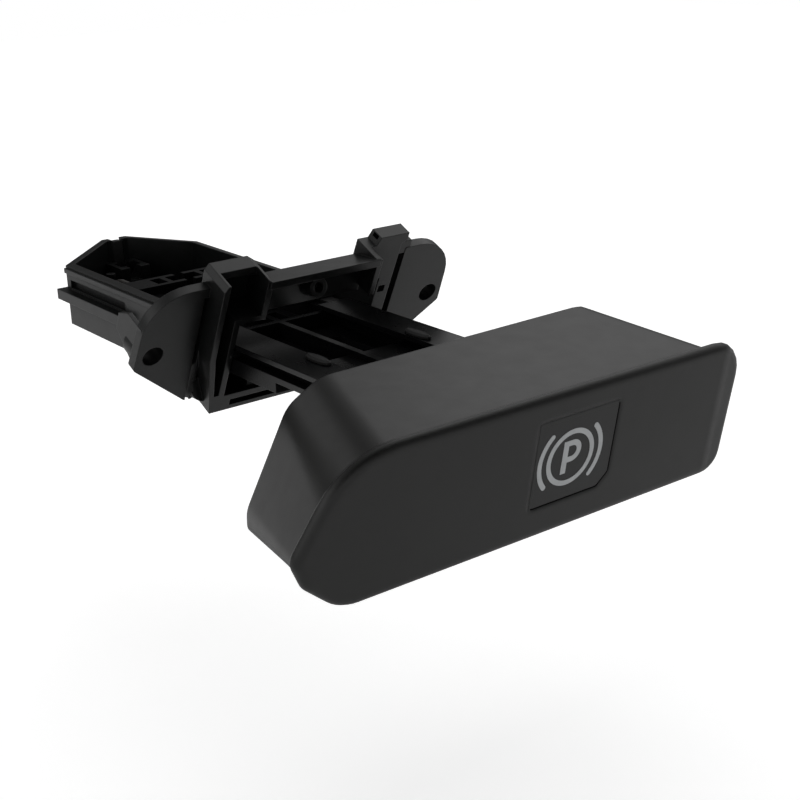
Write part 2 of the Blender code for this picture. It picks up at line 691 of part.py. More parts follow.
def ear(side, root):
    """One fixing ear: tilted plate with a rim that runs back along its top and outer side."""
    outline = ear_outline(root)
    inner = inset(outline, EAR_RIM)
    low_side = EAR_OUT - 2.6 * MM
    low_top = EAR_SHOULDER + 1.0 * MM
    low = [(0.0, low_top), (low_side, low_top), (low_side, 2 * EAR_FOOT), (0.0, 2 * EAR_FOOT)]
    if side < 0:
        outline = mirrored(outline)
        inner = mirrored(inner)
        low = mirrored(low)
    plate = ear_prism("ear", outline, 0.0, EAR_THICK)
    skirt = ear_prism("skirt", outline, EAR_THICK - EPS, EAR_RIM_DEPTH)
    hollow = ear_prism("hollow", inner, EAR_THICK - 2 * EPS, EAR_RIM_DEPTH + 2.0 * MM)
    open_low = ear_prism("open_low", low, EAR_THICK, EAR_RIM_DEPTH + 2.0 * MM)
    combine(skirt, [hollow, open_low], "DIFFERENCE")
    fin = [ear_point(0, -3.4 * MM, 0.6 * MM), ear_point(0, 0.6 * MM, EAR_SIDE_DEPTH),
           ear_point(0, 4.8 * MM, EAR_SIDE_DEPTH), ear_point(0, 7.2 * MM, EAR_RIM_DEPTH),
           ear_point(0, 7.2 * MM, 0.6 * MM)]
    x0, x1 = sorted((side * (EAR_OUT - EAR_RIM), side * (EAR_OUT - 0.6 * EAR_TAPER)))
    wall = side_prism("wall", [(p.y, p.z) for p in fin], x0, x1)
    combine(plate, [skirt, wall], "UNION")
    axis = ear_point(0, 0, 1.0)
    centre = ear_point(side * EAR_HOLE_X, 0, EAR_THICK - EPS)
    collar_r = EAR_HOLE_R + EAR_COLLAR
    collar = turned("collar", centre, axis, [(0, collar_r), (EAR_RIM_DEPTH - EAR_THICK, collar_r)], 24)
    combine(plate, [collar], "UNION")
    centre = ear_point(side * EAR_HOLE_X, 0, -EAR_THICK)
    hole = turned("hole", centre, axis, [(0, EAR_HOLE_R), (2 * EAR_RIM_DEPTH, EAR_HOLE_R)], 24)
    return combine(plate, [hole], "DIFFERENCE")


def tunnel_wall(side, reach):
    """Side wall of the tunnel, from the frame back to the tray."""
    low_front = ear_point(0, FRAME_LOW + 0.6 * MM, 1.0 * MM)
    top_front = ear_point(0, 14.0 * MM, 1.0 * MM)
    outline = [
        (low_front.y, low_front.z), (TUNNEL_END_Y, TUNNEL_FLOOR_LOW), (TUNNEL_END_Y, TUNNEL_TOP),
        (3.0 * MM, 6.0 * MM), (top_front.y + 4.0 * MM, top_front.z), (top_front.y, top_front.z),
    ]
    x0, x1 = sorted((side * OPEN_HALF, side * reach))
    return side_prism("tunnel_wall", outline, x0, x1)


def guide_bracket(mat):
    bracket = guide_frame()
    front_low = ear_point(0, FRAME_LOW + GAP, EPS)
    floor = side_prism("floor", [
        (front_low.y, front_low.z), (TUNNEL_END_Y - 0.05 * MM, TUNNEL_FLOOR_LOW + 0.05 * MM),
        (TUNNEL_END_Y - 0.05 * MM, TUNNEL_FLOOR_TOP), (front_low.y - 1.6 * MM, TUNNEL_FLOOR_TOP),
    ], -OPEN_HALF - EPS, OPEN_HALF + EPS)
    parts = [crossbar(), tunnel_wall(-1, FRAME_OUT - 0.1 * MM), tunnel_wall(1, POST_OUT - 0.1 * MM), floor]
    for side in (-1, 1):
        x0, x1 = sorted((side * (WEB_OUT + GAP), side * (OPEN_HALF + EPS)))
        parts.append(box("guide_rib", x0, x1, -4.2 * MM, TUNNEL_END_Y - 5.0 * MM,
                         -RAIL_GROOVE_LOW + GAP, -RAIL_FLANGE - GAP))
        x0, x1 = sorted((side * (RAIL_IN - GAP), side * (RAIL_IN + RUNNER_WIDE - GAP)))
        parts.append(box("runner", x0, x1, 2.4 * MM, TUNNEL_END_Y - 0.1 * MM,
                         TUNNEL_FLOOR_TOP - EPS, -SLIDE_DEEP - GAP))
    for x, z in TRAY_SCREWS:
        parts.append(turned("screw_boss", (x, TUNNEL_END_Y - TRAY_BOSS_LONG - 0.05 * MM, z), (0, 1, 0),
                            [(0, TRAY_BOSS_R), (TRAY_BOSS_LONG, TRAY_BOSS_R)], 20))
    tie = EAR_ROOT_RIGHT + 1.2 * MM
    bridge_low = EAR_TOP - FRAME_WALL
    bridge_top = FRAME_TOP - 0.4 * MM
    foot_in = POST_OUT - 2.1 * MM
    foot_low = EAR_FOOT + 0.1 * MM
    foot_top = foot_low + 2 * FRAME_WALL
    bridge_in = POST_OUT - EPS
    bridge = [(bridge_in, bridge_low), (tie, bridge_low), (tie, bridge_top), (bridge_in, bridge_top)]
    foot = [(foot_in, foot_low), (tie, foot_low), (tie, foot_top), (foot_in, foot_top)]
    parts.append(ear_prism("bridge", bridge, 0.1 * MM, FRAME_BACK - 0.1 * MM))
    parts.append(ear_prism("foot", foot, 0.05 * MM, EAR_THICK - 0.1 * MM))
    parts += [ear(-1, EAR_ROOT_LEFT), ear(1, EAR_ROOT_RIGHT)]
    combine(bracket, parts, "UNION")
    groove = [(FRAME_OUT, -16.0 * MM), (FRAME_OUT + 1.0 * MM, -16.0 * MM),
              (FRAME_OUT + 1.0 * MM, 13.0 * MM), (FRAME_OUT, 13.0 * MM)]
    slit = [(FRAME_OUT, -17.0 * MM), (FRAME_OUT + 1.0 * MM, -17.0 * MM),
            (FRAME_OUT + 1.0 * MM, -6.6 * MM), (FRAME_OUT, -6.6 * MM)]
    cuts = [
        ear_prism("groove", mirrored(groove), -1.0 * MM, EAR_THICK - 0.9 * MM),
        ear_prism("slit", mirrored(slit), -1.0 * MM, EAR_THICK + 1.0 * MM),
    ]
    for x, z in TRAY_SCREWS:
        cuts.append(turned("hole", (x, TUNNEL_END_Y - TRAY_BOSS_LONG + 1.4 * MM, z), (0, 1, 0),
                           [(0, SCREW_HOLE_R), (TRAY_BOSS_LONG, SCREW_HOLE_R)], 16))
    combine(bracket, cuts, "DIFFERENCE")
    return dress(tidy(bracket), mat)


def tray_plan(shrink):
    half = TRAY_HALF - shrink
    front = TRAY_FRONT_Y + 1.0 * MM
    corner = TRAY_CORNER_Y - shrink * 0.6
    point_half = TRAY_POINT_HALF - shrink * 0.2
    point = TRAY_POINT_Y - shrink * 1.15
    return [
        (half, front), (half, corner), (point_half, point),
        (-point_half, point), (-half, corner), (-half, front),
    ]


def cable_tray(mat):
    tray = plan_prism("cable_tray", tray_plan(0.0), TRAY_FLOOR_LOW, TRAY_PEAK + 1.0 * MM)
    gable = [
        (-TRAY_HALF - 5 * MM, TRAY_FLOOR_LOW - MM), (TRAY_HALF + 5 * MM, TRAY_FLOOR_LOW - MM),
        (TRAY_HALF + 5 * MM, TRAY_RIM - 0.5 * MM), (TRAY_HALF, TRAY_RIM), (TRAY_POINT_HALF, TRAY_PEAK),
        (-TRAY_POINT_HALF, TRAY_PEAK), (-TRAY_HALF, TRAY_RIM), (-TRAY_HALF - 5 * MM, TRAY_RIM - 0.5 * MM),
    ]
    combine(tray, [cross_prism("gable", gable, 0.0, 0.1)], "INTERSECT")
    hollow = plan_prism("hollow", tray_plan(TRAY_WALL), TRAY_FLOOR_LOW + TRAY_FLOOR, 20 * MM)
    front_open = box("front_open", -TRAY_HALF + TRAY_WALL, TRAY_HALF - TRAY_WALL, 0.0,
                     TRAY_FRONT_Y + 2.0 * MM, TRAY_FLOOR_LOW + TRAY_FLOOR, 20 * MM)
    combine(tray, [hollow, front_open], "DIFFERENCE")
    neck_half = TAIL_HALF + GAP
    wide = (FRAME_OUT - 0.2 * MM) / MM
    top = (TUNNEL_TOP - 0.2 * MM) / MM
    low = (TUNNEL_FLOOR_LOW + 0.2 * MM) / MM
    corners = [(wide, top, 1.5), (-wide, top, 1.5), (-wide, low, 1.5), (wide, low, 1.5)]
    plate = cross_prism("plate", rounded(corners), TRAY_FRONT_Y, TRAY_FRONT_Y + TRAY_PLATE)
    neck = box("neck", -neck_half, neck_half, 0.0, 2 * TRAY_FRONT_Y, -SLIDE_DEEP - GAP, -RAIL_FLANGE + GAP)
    combine(plate, [neck], "DIFFERENCE")
    parts = [plate]
    for side in (-1, 1):
        x0, x1 = sorted((side * (TRAY_HALF - EPS), side * (TRAY_HALF + TRAY_FLANGE)))
        parts.append(box("flange", x0, x1, FLANGE_FRONT_Y, FLANGE_BACK_Y,
                         FLANGE_LOW, FLANGE_LOW + FLANGE_HIGH))
        x0, x1 = sorted((side * (TRAY_HALF - EPS), side * (TRAY_HALF + TRAY_BEAD)))
        parts.append(box("bead", x0, x1, TRAY_FRONT_Y + 1.2 * MM, TRAY_CORNER_Y - 0.4 * MM,
                         0.3 * MM, 1.5 * MM))
        x0, x1 = sorted((side * (RAIL_IN - GAP), side * (RAIL_IN - GAP - RUNNER_WIDE)))
        parts.append(box("runner", x0, x1, TRAY_FRONT_Y + 1.5 * MM, TRAY_CORNER_Y - 7.7 * MM,
                         TRAY_FLOOR_LOW + 0.6 * MM, HEAD_LOW - GAP))
    post = [(0, SPRING_POST_R + EPS), (4.0 * MM, SPRING_POST_R), (SPRING_POST_LONG, SPRING_POST_R)]
    parts.append(turned("spring_post", (SPRING_X, SPRING_POST_Y, TRAY_FLOOR_LOW + 0.7 * MM), (0, 0, 1),
                        post, 16))
    parts.append(box("seat", -SEAT_HALF, SEAT_HALF, SEAT_FRONT_Y, SEAT_BACK_Y,
                     TRAY_FLOOR_LOW + EPS, SEAT_TOP))
    combine(tray, parts, "UNION")
    way_start = SEAT_FRONT_Y - 3.0 * MM
    way_long = TRAY_POINT_Y - way_start + 5.0 * MM
    cuts = [
        box("notch", -NOTCH_HALF, NOTCH_HALF, way_start, way_start + way_long, NOTCH_LOW, 10 * MM),
        turned("sheath_seat", (0.0, SHEATH_FRONT_Y, CABLE_Z), (0, 1, 0),
               [(0, SHEATH_R), (SHEATH_LONG, SHEATH_R)], 24),
        box("seat_mouth", -SHEATH_R, SHEATH_R, SHEATH_FRONT_Y, SHEATH_FRONT_Y + SHEATH_LONG,
            CABLE_Z, 10 * MM),
        turned("cable_way", (0.0, way_start, CABLE_Z), (0, 1, 0),
               [(0, CABLE_WAY_R), (way_long, CABLE_WAY_R)], 16),
    ]
    for side in (-1, 1):
        x0, x1 = sorted((side * (TRAY_HALF - TRAY_WALL / 2), side * (TRAY_HALF + 2 * TRAY_FLANGE)))
        cuts.append(box("groove", x0, x1, FLANGE_FRONT_Y + 2.0 * MM, FLANGE_BACK_Y - 3.5 * MM,
                        GROOVE_LOW, GROOVE_LOW + GROOVE_HIGH))
    for x, z in TRAY_SCREWS:
        cuts.append(turned("hole", (x, TRAY_FRONT_Y - MM, z), (0, 1, 0),
                           [(0, SCREW_HOLE_R), (5.0 * MM, SCREW_HOLE_R)], 16))
    combine(tray, cuts, "DIFFERENCE")
    return dress(tidy(tray), mat)


def crosshead(mat):
    head = box("crosshead", -HEAD_HALF, HEAD_HALF, HEAD_FRONT_Y, HEAD_BACK_Y, HEAD_LOW, HEAD_TOP)
    above = 2 * NIPPLE_HALF
    front = HEAD_FRONT_Y - CORE_WALL
    back = HEAD_BACK_Y + CORE_WALL
    cuts = [
        box("cable_slot", -CABLE_SLOT_HALF, CABLE_SLOT_HALF, front, back, CABLE_Z - CABLE_SLOT_HALF, above),
        box("nipple_pocket", -NIPPLE_HALF, NIPPLE_HALF, HEAD_FRONT_Y + NIPPLE_WALL, HEAD_BACK_Y - NIPPLE_WALL,
            CABLE_Z - NIPPLE_DEEP, above),
    ]
    for side in (-1, 1):
        cuts.append(turned("hole", (side * HEAD_SCREW_X, front, CABLE_Z), (0, 1, 0),
                           [(0, SCREW_HOLE_R), (back - front, SCREW_HOLE_R)], 16))
        inner = NIPPLE_HALF + 1.4 * MM
        x0, x1 = sorted((side * inner, side * (inner + CORE_WIDE)))
        cuts.append(box("core", x0, x1, HEAD_FRONT_Y + CORE_WALL, HEAD_BACK_Y - CORE_WALL, CORE_LOW, above))
    eye = box("eye", SPRING_X - EYE_HALF, SPRING_X + EYE_HALF, HEAD_BACK_Y - EPS, HEAD_BACK_Y + EYE_LONG,
              SPRING_Z - 3 * EYE_HALF, SPRING_Z + 1.6 * EYE_HALF)
    combine(head, [eye], "UNION")
    cuts.append(turned("eye_hole", (SPRING_X - 3 * EYE_HALF, EYE_HOLE_Y, SPRING_Z), (1, 0, 0),
                       [(0, EYE_HOLE_R), (6 * EYE_HALF, EYE_HOLE_R)], 16))
    combine(head, cuts, "DIFFERENCE")
    return dress(tidy(head), mat)


def screw(name, seat, axis, length, mat):
    """Pan head screw; seat is the middle of the face that the head bears on, axis points into the work."""
    recess = 0.7 * MM
    stations = [
        (-SCREW_HEAD_H, 0.9 * SCREW_HEAD_R), (-SCREW_HEAD_H * 0.7, SCREW_HEAD_R), (0.0, SCREW_HEAD_R),
        (0.0, SCREW_R), (length - 1.0 * MM, SCREW_R), (length, 0.5 * SCREW_R),
    ]
    body = turned(name, seat, axis, stations, 20)
    pit = turned("pit", seat, axis, [(-SCREW_HEAD_H - MM, 1.2 * MM), (-SCREW_HEAD_H + recess, 1.0 * MM)], 6)
    combine(body, [pit], "DIFFERENCE")
    return dress(body, mat)


def screws(mat):
    for i, (x, y) in enumerate(GRIP_BOSSES):
        screw(f"carriage_screw_{i + 1}", (x * MM, y * MM, -SLIDE_SHALLOW - GAP / 3), (0, 0, 1),
              CARRIAGE_SCREW_LONG, mat)
    for i, side in enumerate((-1, 1)):
        screw(f"crosshead_screw_{i + 1}", (side * HEAD_SCREW_X, HEAD_BACK_Y + GAP / 3, CABLE_Z), (0, -1, 0),
              HEAD_SCREW_LONG, mat)
    for i, (x, z) in enumerate(TRAY_SCREWS):
        y = TRAY_FRONT_Y + TRAY_PLATE + GAP / 3
        screw(f"tray_screw_{i + 1}", (x, y, z), (0, -1, 0), TRAY_SCREW_LONG, mat)


def buffers(mat):
    for i, side in enumerate((-1, 1)):
        x0, x1 = sorted((side * (TAIL_HALF + GAP), side * (HEAD_HALF - 0.1 * MM)))
        y1 = HEAD_FRONT_Y - GAP / 3
        y0 = TRAY_FRONT_Y + TRAY_PLATE + STROKE + GAP
        dress(box(f"stop_buffer_{i + 1}", x0, x1, y0, y1, HEAD_LOW + 0.6 * MM, HEAD_TOP - 0.6 * MM), mat)
        x0, x1 = sorted((side * (TAIL_HALF + 1.0 * MM), side * (RAIL_OUT - 0.8 * MM)))
        dress(box(f"rest_buffer_{i + 1}", x0, x1, RAIL_END_Y + GAP, TRAY_FRONT_Y - GAP / 3,
                  -SLIDE_DEEP + 0.3 * MM, -0.6 * MM), mat)


def return_spring(mat):
    """Extension spring: closed helix with a loop at each end, drawn as one swept wire."""
    front = HEAD_BACK_Y + 3.6 * MM
    back = SPRING_POST_Y - SPRING_POST_R - 2.6 * MM
    steps = 12
    path = []
    lead = Vector((SPRING_X, EYE_HOLE_Y, SPRING_Z))
    path.append(lead + Vector((-2.0 * MM, 0.2 * MM, 0)))
    path.append(lead + Vector((0, 0, 0)))
    path.append(lead + Vector((2.0 * MM, 0.4 * MM, 0)))
    path.append(lead + Vector((2.4 * MM, 1.6 * MM, 0)))
    for k in range(SPRING_COILS * steps + 1):
        turn = 2 * math.pi * k / steps
        y = front + (back - front) * k / (SPRING_COILS * steps)
        path.append(Vector((SPRING_X + SPRING_R * math.cos(turn), y, SPRING_Z + SPRING_R * math.sin(turn))))
    loop = SPRING_POST_R + GAP + SPRING_WIRE_R
    for k in range(9):
        turn = math.radians(-60 + 300 * k / 8)
        path.append(Vector((SPRING_X + loop * math.cos(turn),
                            SPRING_POST_Y + loop * math.sin(turn), SPRING_Z)))
    rings = []
    sides = 6
    for i, p in enumerate(path):
        ahead = path[min(i + 1, len(path) - 1)] - path[max(i - 1, 0)]
        ahead.normalize()
        across = ahead.cross(Vector((0, 1, 0)))
        if across.length < 0.2:
            across = ahead.cross(Vector((0, 0, 1)))
        across.normalize()
        other = ahead.cross(across)
        ring = []
        for s in range(sides):
            turn = 2 * math.pi * s / sides
            ring.append(p + (across * math.cos(turn) + other * math.sin(turn)) * SPRING_WIRE_R)
        rings.append(ring)
    spring = loft("return_spring", rings)
    shade_round(spring)
    return dress(spring, mat)


def main():
    clear_scene()
    grip_black = material("grip_black_abs", (0.012, 0.012, 0.012), 0.42)
    print_grey = material("symbol_plate_black", (0.010, 0.010, 0.010), 0.35)
    nylon_black = material("bracket_black_nylon", (0.006, 0.006, 0.007), 0.48)
    slide_black = material("slide_black_acetal", (0.009, 0.009, 0.010), 0.35)
    screw_zinc = material("screw_black_zinc", (0.030, 0.030, 0.032), 0.35, 1.0)
    soft_pad = material("soft_pad_rubber", (0.020, 0.020, 0.020), 0.80)
    spring_steel = material("spring_steel", (0.18, 0.18, 0.19), 0.30, 1.0)
    grip_cover(grip_black)
    symbol_insert(print_grey)
    slide_carriage(slide_black)
    crosshead(slide_black)
    guide_bracket(nylon_black)
    cable_tray(nylon_black)
    rattle_pads(soft_pad)
    buffers(soft_pad)
    screws(screw_zinc)
    return_spring(spring_steel)


main()
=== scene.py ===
# %% [markdown]
# # Parking brake release handle
#
# This notebook dresses a finished CAD model: a hollow black grip on a slide, held by a moulded bracket with
# two screw ears and a cable tray behind. The shapes and sizes come from the CAD file and stay as they are.
# What is made here is what a moulder, a printer and a photographer would add: the surface of each plastic,
# the softened edges that every moulding has, the printed brake symbol, and a white studio.

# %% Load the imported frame
import math

import bmesh
import bpy
from mathutils import Matrix, Vector


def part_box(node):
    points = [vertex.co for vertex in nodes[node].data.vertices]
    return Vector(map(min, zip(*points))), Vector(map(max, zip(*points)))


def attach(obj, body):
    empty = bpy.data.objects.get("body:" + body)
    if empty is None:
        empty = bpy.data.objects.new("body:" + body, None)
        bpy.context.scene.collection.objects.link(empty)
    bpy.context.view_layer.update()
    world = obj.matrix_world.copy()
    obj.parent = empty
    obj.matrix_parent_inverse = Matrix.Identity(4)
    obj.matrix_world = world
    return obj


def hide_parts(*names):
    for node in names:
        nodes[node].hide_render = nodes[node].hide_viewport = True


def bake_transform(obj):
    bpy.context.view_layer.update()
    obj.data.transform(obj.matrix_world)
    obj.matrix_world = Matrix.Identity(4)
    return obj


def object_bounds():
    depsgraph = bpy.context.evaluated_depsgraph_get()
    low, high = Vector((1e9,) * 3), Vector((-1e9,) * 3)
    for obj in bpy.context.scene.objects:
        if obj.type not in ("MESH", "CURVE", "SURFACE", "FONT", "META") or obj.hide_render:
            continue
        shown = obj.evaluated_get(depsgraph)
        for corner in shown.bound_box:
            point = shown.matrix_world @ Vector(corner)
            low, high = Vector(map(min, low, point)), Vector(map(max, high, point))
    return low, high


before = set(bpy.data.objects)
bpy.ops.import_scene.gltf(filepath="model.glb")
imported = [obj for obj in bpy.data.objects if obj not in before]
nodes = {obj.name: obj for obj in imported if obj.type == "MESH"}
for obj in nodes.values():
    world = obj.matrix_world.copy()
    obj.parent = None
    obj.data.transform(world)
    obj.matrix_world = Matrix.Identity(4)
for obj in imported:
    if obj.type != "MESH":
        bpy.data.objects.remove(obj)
cad_low, cad_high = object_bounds()
MM = 0.001
print(len(nodes), "CAD nodes; box in mm", [round(v / MM, 1) for v in cad_high - cad_low])

# %% [markdown]
# ## Small steps that the rest is built from
#
# Colours are written as sRGB hex values, the way they are read off a picture, and one function turns them
# into the linear values that the renderer works in. One more function adds a node, sets it and links it, so
# that each material and each modifier below can be read as a short list of what it is made of.

# %% Colour and node helpers
def linear(hex_colour):
    """sRGB hex to the linear colour that a shader expects."""
    out = []
    for i in (1, 3, 5):
        c = int(hex_colour[i:i + 2], 16) / 255
        out.append(c / 12.92 if c <= 0.04045 else ((c + 0.055) / 1.055) ** 2.4)
    return (*out, 1.0)


def add(owner, kind, settings=(), inputs=(), links=()):
    """A node in a material, the world or a modifier's group, with its settings, values and what feeds it."""
    tree = getattr(owner, "node_tree", owner)
    node = tree.nodes.new(kind)
    for key, value in dict(settings).items():
        setattr(node, key, value)
    for key, value in dict(inputs).items():
        node.inputs[key].default_value = value
    for key, socket in dict(links).items():
        tree.links.new(socket, node.inputs[key])
    return node


def modifier_group(name):
    """An empty group for a geometry modifier, with its way in and its way out."""
    group = bpy.data.node_groups.new(name, "GeometryNodeTree")
    for way in ("INPUT", "OUTPUT"):
        group.interface.new_socket("Geometry", in_out=way, socket_type="NodeSocketGeometry")
    return group, add(group, "NodeGroupInput"), add(group, "NodeGroupOutput")


print("dark plastic", [round(v, 4) for v in linear("#1c1c1b")[:3]])

# %% [markdown]
# ## Soft edges on moulded parts
#
# A real moulding has no knife edges: steel tools are polished and plastic shrinks, so every corner ends
# with a radius of a few tenths of a millimetre that catches a thin line of light. The edges could be cut
# into the mesh with a bevel, but the CAD meshes stay untouched, so this way is better: vertices that lie on
# each other are joined, faces that meet at less than a set angle are shaded as one curve, and flat faces
# keep their own normal. The small radius itself is drawn by each material, with the Bevel node.

# %% Shade shallow angles as curves
CURVE_ANGLE = 24
WELD = 0.005 * MM


def shading_group(angle):
    """Modifier that joins loose corners and marks as sharp each edge that turns by more than the angle."""
    group, start, end = modifier_group(f"shade_{angle}_degrees")
    merge = add(group, "GeometryNodeMergeByDistance", inputs={"Distance": WELD},
                links={"Geometry": start.outputs[0]})
    smooth = add(group, "GeometryNodeSetShadeSmooth", links={"Geometry": merge.outputs[0]})
    edge = add(group, "GeometryNodeInputMeshEdgeAngle")
    limit = add(group, "FunctionNodeCompare", {"data_type": "FLOAT", "operation": "GREATER_THAN"},
                {"B": math.radians(angle)}, {"A": edge.outputs["Unsigned Angle"]})
    sharp = add(group, "GeometryNodeSetShadeSmooth", {"domain": "EDGE"}, {"Shade Smooth": False},
                {"Geometry": smooth.outputs[0], "Selection": limit.outputs["Result"]})
    group.links.new(sharp.outputs[0], end.inputs[0])
    return group


shade_moulding = shading_group(CURVE_ANGLE)


def soften(obj):
    """Curved where the shape curves, flat where it is flat."""
    step = obj.modifiers.new("shading", "NODES")
    step.node_group = shade_moulding
    normals = obj.modifiers.new("normals", "WEIGHTED_NORMAL")
    normals.keep_sharp = True
    normals.weight = 90


for node in nodes.values():
    soften(node)
print("shading modifiers on", len(nodes), "nodes")

# %% [markdown]
# ## What every material starts with
#
# Each material below starts from the standard shader, with typical values for what it is made of: plastics
# get their own IOR, metals keep the default. No real surface has one even colour, so each base colour
# drifts between two near tones in clouds of a real size, and the same clouds can steer the gloss.

# %% Shader and clouded colour
def principled(name, base, roughness, ior=1.5, metallic=0.0):
    """A new material with its shader."""
    mat = bpy.data.materials.new(name)
    mat.use_nodes = True
    shader = mat.node_tree.nodes["Principled BSDF"]
    shader.inputs["Base Color"].default_value = linear(base)
    shader.inputs["Roughness"].default_value = roughness
    shader.inputs["Metallic"].default_value = metallic
    if not metallic:
        shader.inputs["IOR"].default_value = ior
    mat.diffuse_color = linear(base)
    return mat, shader


def clouded(mat, shader, cloud_mm, detail, low, high):
    """Base colour that drifts between two hex colours in clouds of a size in mm; gives back the clouds."""
    place = add(mat, "ShaderNodeTexCoord")
    cloud = add(mat, "ShaderNodeTexNoise", inputs={"Scale": 1 / (cloud_mm * MM), "Detail": detail},
                links={"Vector": place.outputs["Object"]})
    tint = add(mat, "ShaderNodeMix", {"data_type": "RGBA"}, {"A": linear(low), "B": linear(high)},
               {"Factor": cloud.outputs["Fac"]})
    mat.node_tree.links.new(tint.outputs["Result"], shader.inputs["Base Color"])
    return cloud


print("clouds of 14 mm have the scale", round(1 / (14.0 * MM), 1), "a metre")

# %% [markdown]
# ## Moulded plastics
#
# All the big parts are black injection mouldings, but not the same black. The grip is ABS, moulded in a
# tool with a fine satin grain, and it looks soft grey where light grazes it. The bracket and the tray are
# nylon with glass fibre: a little blacker and patchier, because fibres come to the surface where the melt
# met the cold steel. The slide and the crosshead are acetal, smooth and slippery, which shows as deeper
# black with tighter highlights.
#
# One function makes them all, because the steps are the same: cloudy colour from a large noise, uneven
# gloss from a medium noise, grain as bump from a small one, and the Bevel node for the edge radius. Where
# the Ambient Occlusion node finds walls near, the sheen is turned down: this is painted shade in deep
# corners, which stands in for corners that mirror other black walls and not the white room. The real grain
# is about 0.1 mm, too fine for a picture with five pixels to the millimetre, so it is drawn at 0.25 to 0.4 mm.

# %% A moulded plastic
# Painted shade in nooks: below these occlusion levels the sheen is turned down towards the lowest level.
NOOK_FROM, NOOK_TO = 0.4, 0.95
NOOK_PAINTED_SHEEN = 0.11
GRAIN_STRENGTH = 0.35


def moulded(name, base, lighter, roughness, grain_mm, grain_depth, edge_mm, ior=1.5,
            cloud_mm=14.0, spread=0.05, nook_mm=16, open_sheen=0.5):
    """A moulding: clouded black, uneven gloss, grain, a soft edge, and painted shade as less sheen in nooks."""
    mat, shader = principled(name, base, roughness, ior)
    clouded(mat, shader, cloud_mm, 3.0, base, lighter)
    place = add(mat, "ShaderNodeTexCoord")
    patch = add(mat, "ShaderNodeTexNoise", inputs={"Scale": 3 / (cloud_mm * MM), "Detail": 4.0},
                links={"Vector": place.outputs["Object"]})
    gloss = add(mat, "ShaderNodeMapRange", inputs={"To Min": roughness - spread, "To Max": roughness + spread},
                links={"Value": patch.outputs["Fac"]})
    edge = add(mat, "ShaderNodeBevel", {"samples": 6}, {"Radius": edge_mm * MM})
    grain = add(mat, "ShaderNodeTexNoise", inputs={"Scale": 1 / (grain_mm * MM), "Detail": 2.0},
                links={"Vector": place.outputs["Object"]})
    bump = add(mat, "ShaderNodeBump", inputs={"Strength": GRAIN_STRENGTH, "Distance": grain_depth * MM},
               links={"Height": grain.outputs["Fac"], "Normal": edge.outputs["Normal"]})
    # Painted shade: the sheen drops where the Ambient Occlusion node finds walls near.
    nook_shade_ao = add(mat, "ShaderNodeAmbientOcclusion", {"samples": 8}, {"Distance": nook_mm * MM})
    sheen = add(mat, "ShaderNodeMapRange",
                inputs={"From Min": NOOK_FROM, "From Max": NOOK_TO, "To Min": NOOK_PAINTED_SHEEN, "To Max": open_sheen},
                links={"Value": nook_shade_ao.outputs["AO"]})
    link = mat.node_tree.links.new
    link(sheen.outputs["Result"], shader.inputs["Specular IOR Level"])
    link(gloss.outputs["Result"], shader.inputs["Roughness"])
    link(bump.outputs["Normal"], shader.inputs["Normal"])
    return mat


GRIP_PLASTIC = ("#131312", "#181817", 0.34, 0.35, 0.010)
grip_abs = moulded("satin_grained_black_abs", *GRIP_PLASTIC, 1.6)
plate_abs = moulded("smooth_black_abs_symbol_plate", "#121212", "#161616", 0.30, 0.30, 0.005, 0.15)
bracket_nylon = moulded("glass_filled_black_nylon", "#0e0f0f", "#141515", 0.34, 0.30, 0.012, 0.30, 1.53,
                        cloud_mm=9.0, spread=0.06)
slide_acetal = moulded("smooth_black_acetal", "#0b0b0c", "#101011", 0.28, 0.40, 0.004, 0.25, 1.48,
                       cloud_mm=16.0, spread=0.03, nook_mm=30, open_sheen=0.55)
pad_rubber = moulded("matt_black_rubber", "#171717", "#1f1f1f", 0.75, 0.25, 0.020, 0.20, 1.52, cloud_mm=6.0)
print("five mouldings made")

# %% [markdown]
# ## The grip's rolled rim
#
# Near its right end the grip's front rolls away from the driver and catches the light as a soft bright
# band. The last 6 mm of the panel are flat in the CAD, so the roll is drawn with a bump whose height falls
# as a square towards the end, between the edge radius and the grain. A curve cut into the mesh would be
# truer, but the CAD stays as it is.

# %% Rim of the grip
RIM_START, RIM_END, RIM_DEPTH = 43.4, 49.3, 2.2
rim_place = add(grip_abs, "ShaderNodeTexCoord")
rim_split = add(grip_abs, "ShaderNodeSeparateXYZ", links={"Vector": rim_place.outputs["Object"]})
rim_reach = add(grip_abs, "ShaderNodeMapRange", inputs={"From Min": RIM_START * MM, "From Max": RIM_END * MM},
                links={"Value": rim_split.outputs["X"]})
rim_curve = add(grip_abs, "ShaderNodeMath", {"operation": "POWER"}, {1: 2.0}, {0: rim_reach.outputs["Result"]})
grip_grain = next(n for n in grip_abs.node_tree.nodes if n.type == "BUMP")
rim_edge = grip_grain.inputs["Normal"].links[0].from_socket
rim_bump = add(grip_abs, "ShaderNodeBump", {"invert": True}, {"Strength": 1.0, "Distance": RIM_DEPTH * MM},
               {"Height": rim_curve.outputs["Value"], "Normal": rim_edge})
grip_abs.node_tree.links.new(rim_bump.outputs["Normal"], grip_grain.inputs["Normal"])
print("rim rolls over mm", round(RIM_END - RIM_START, 1))
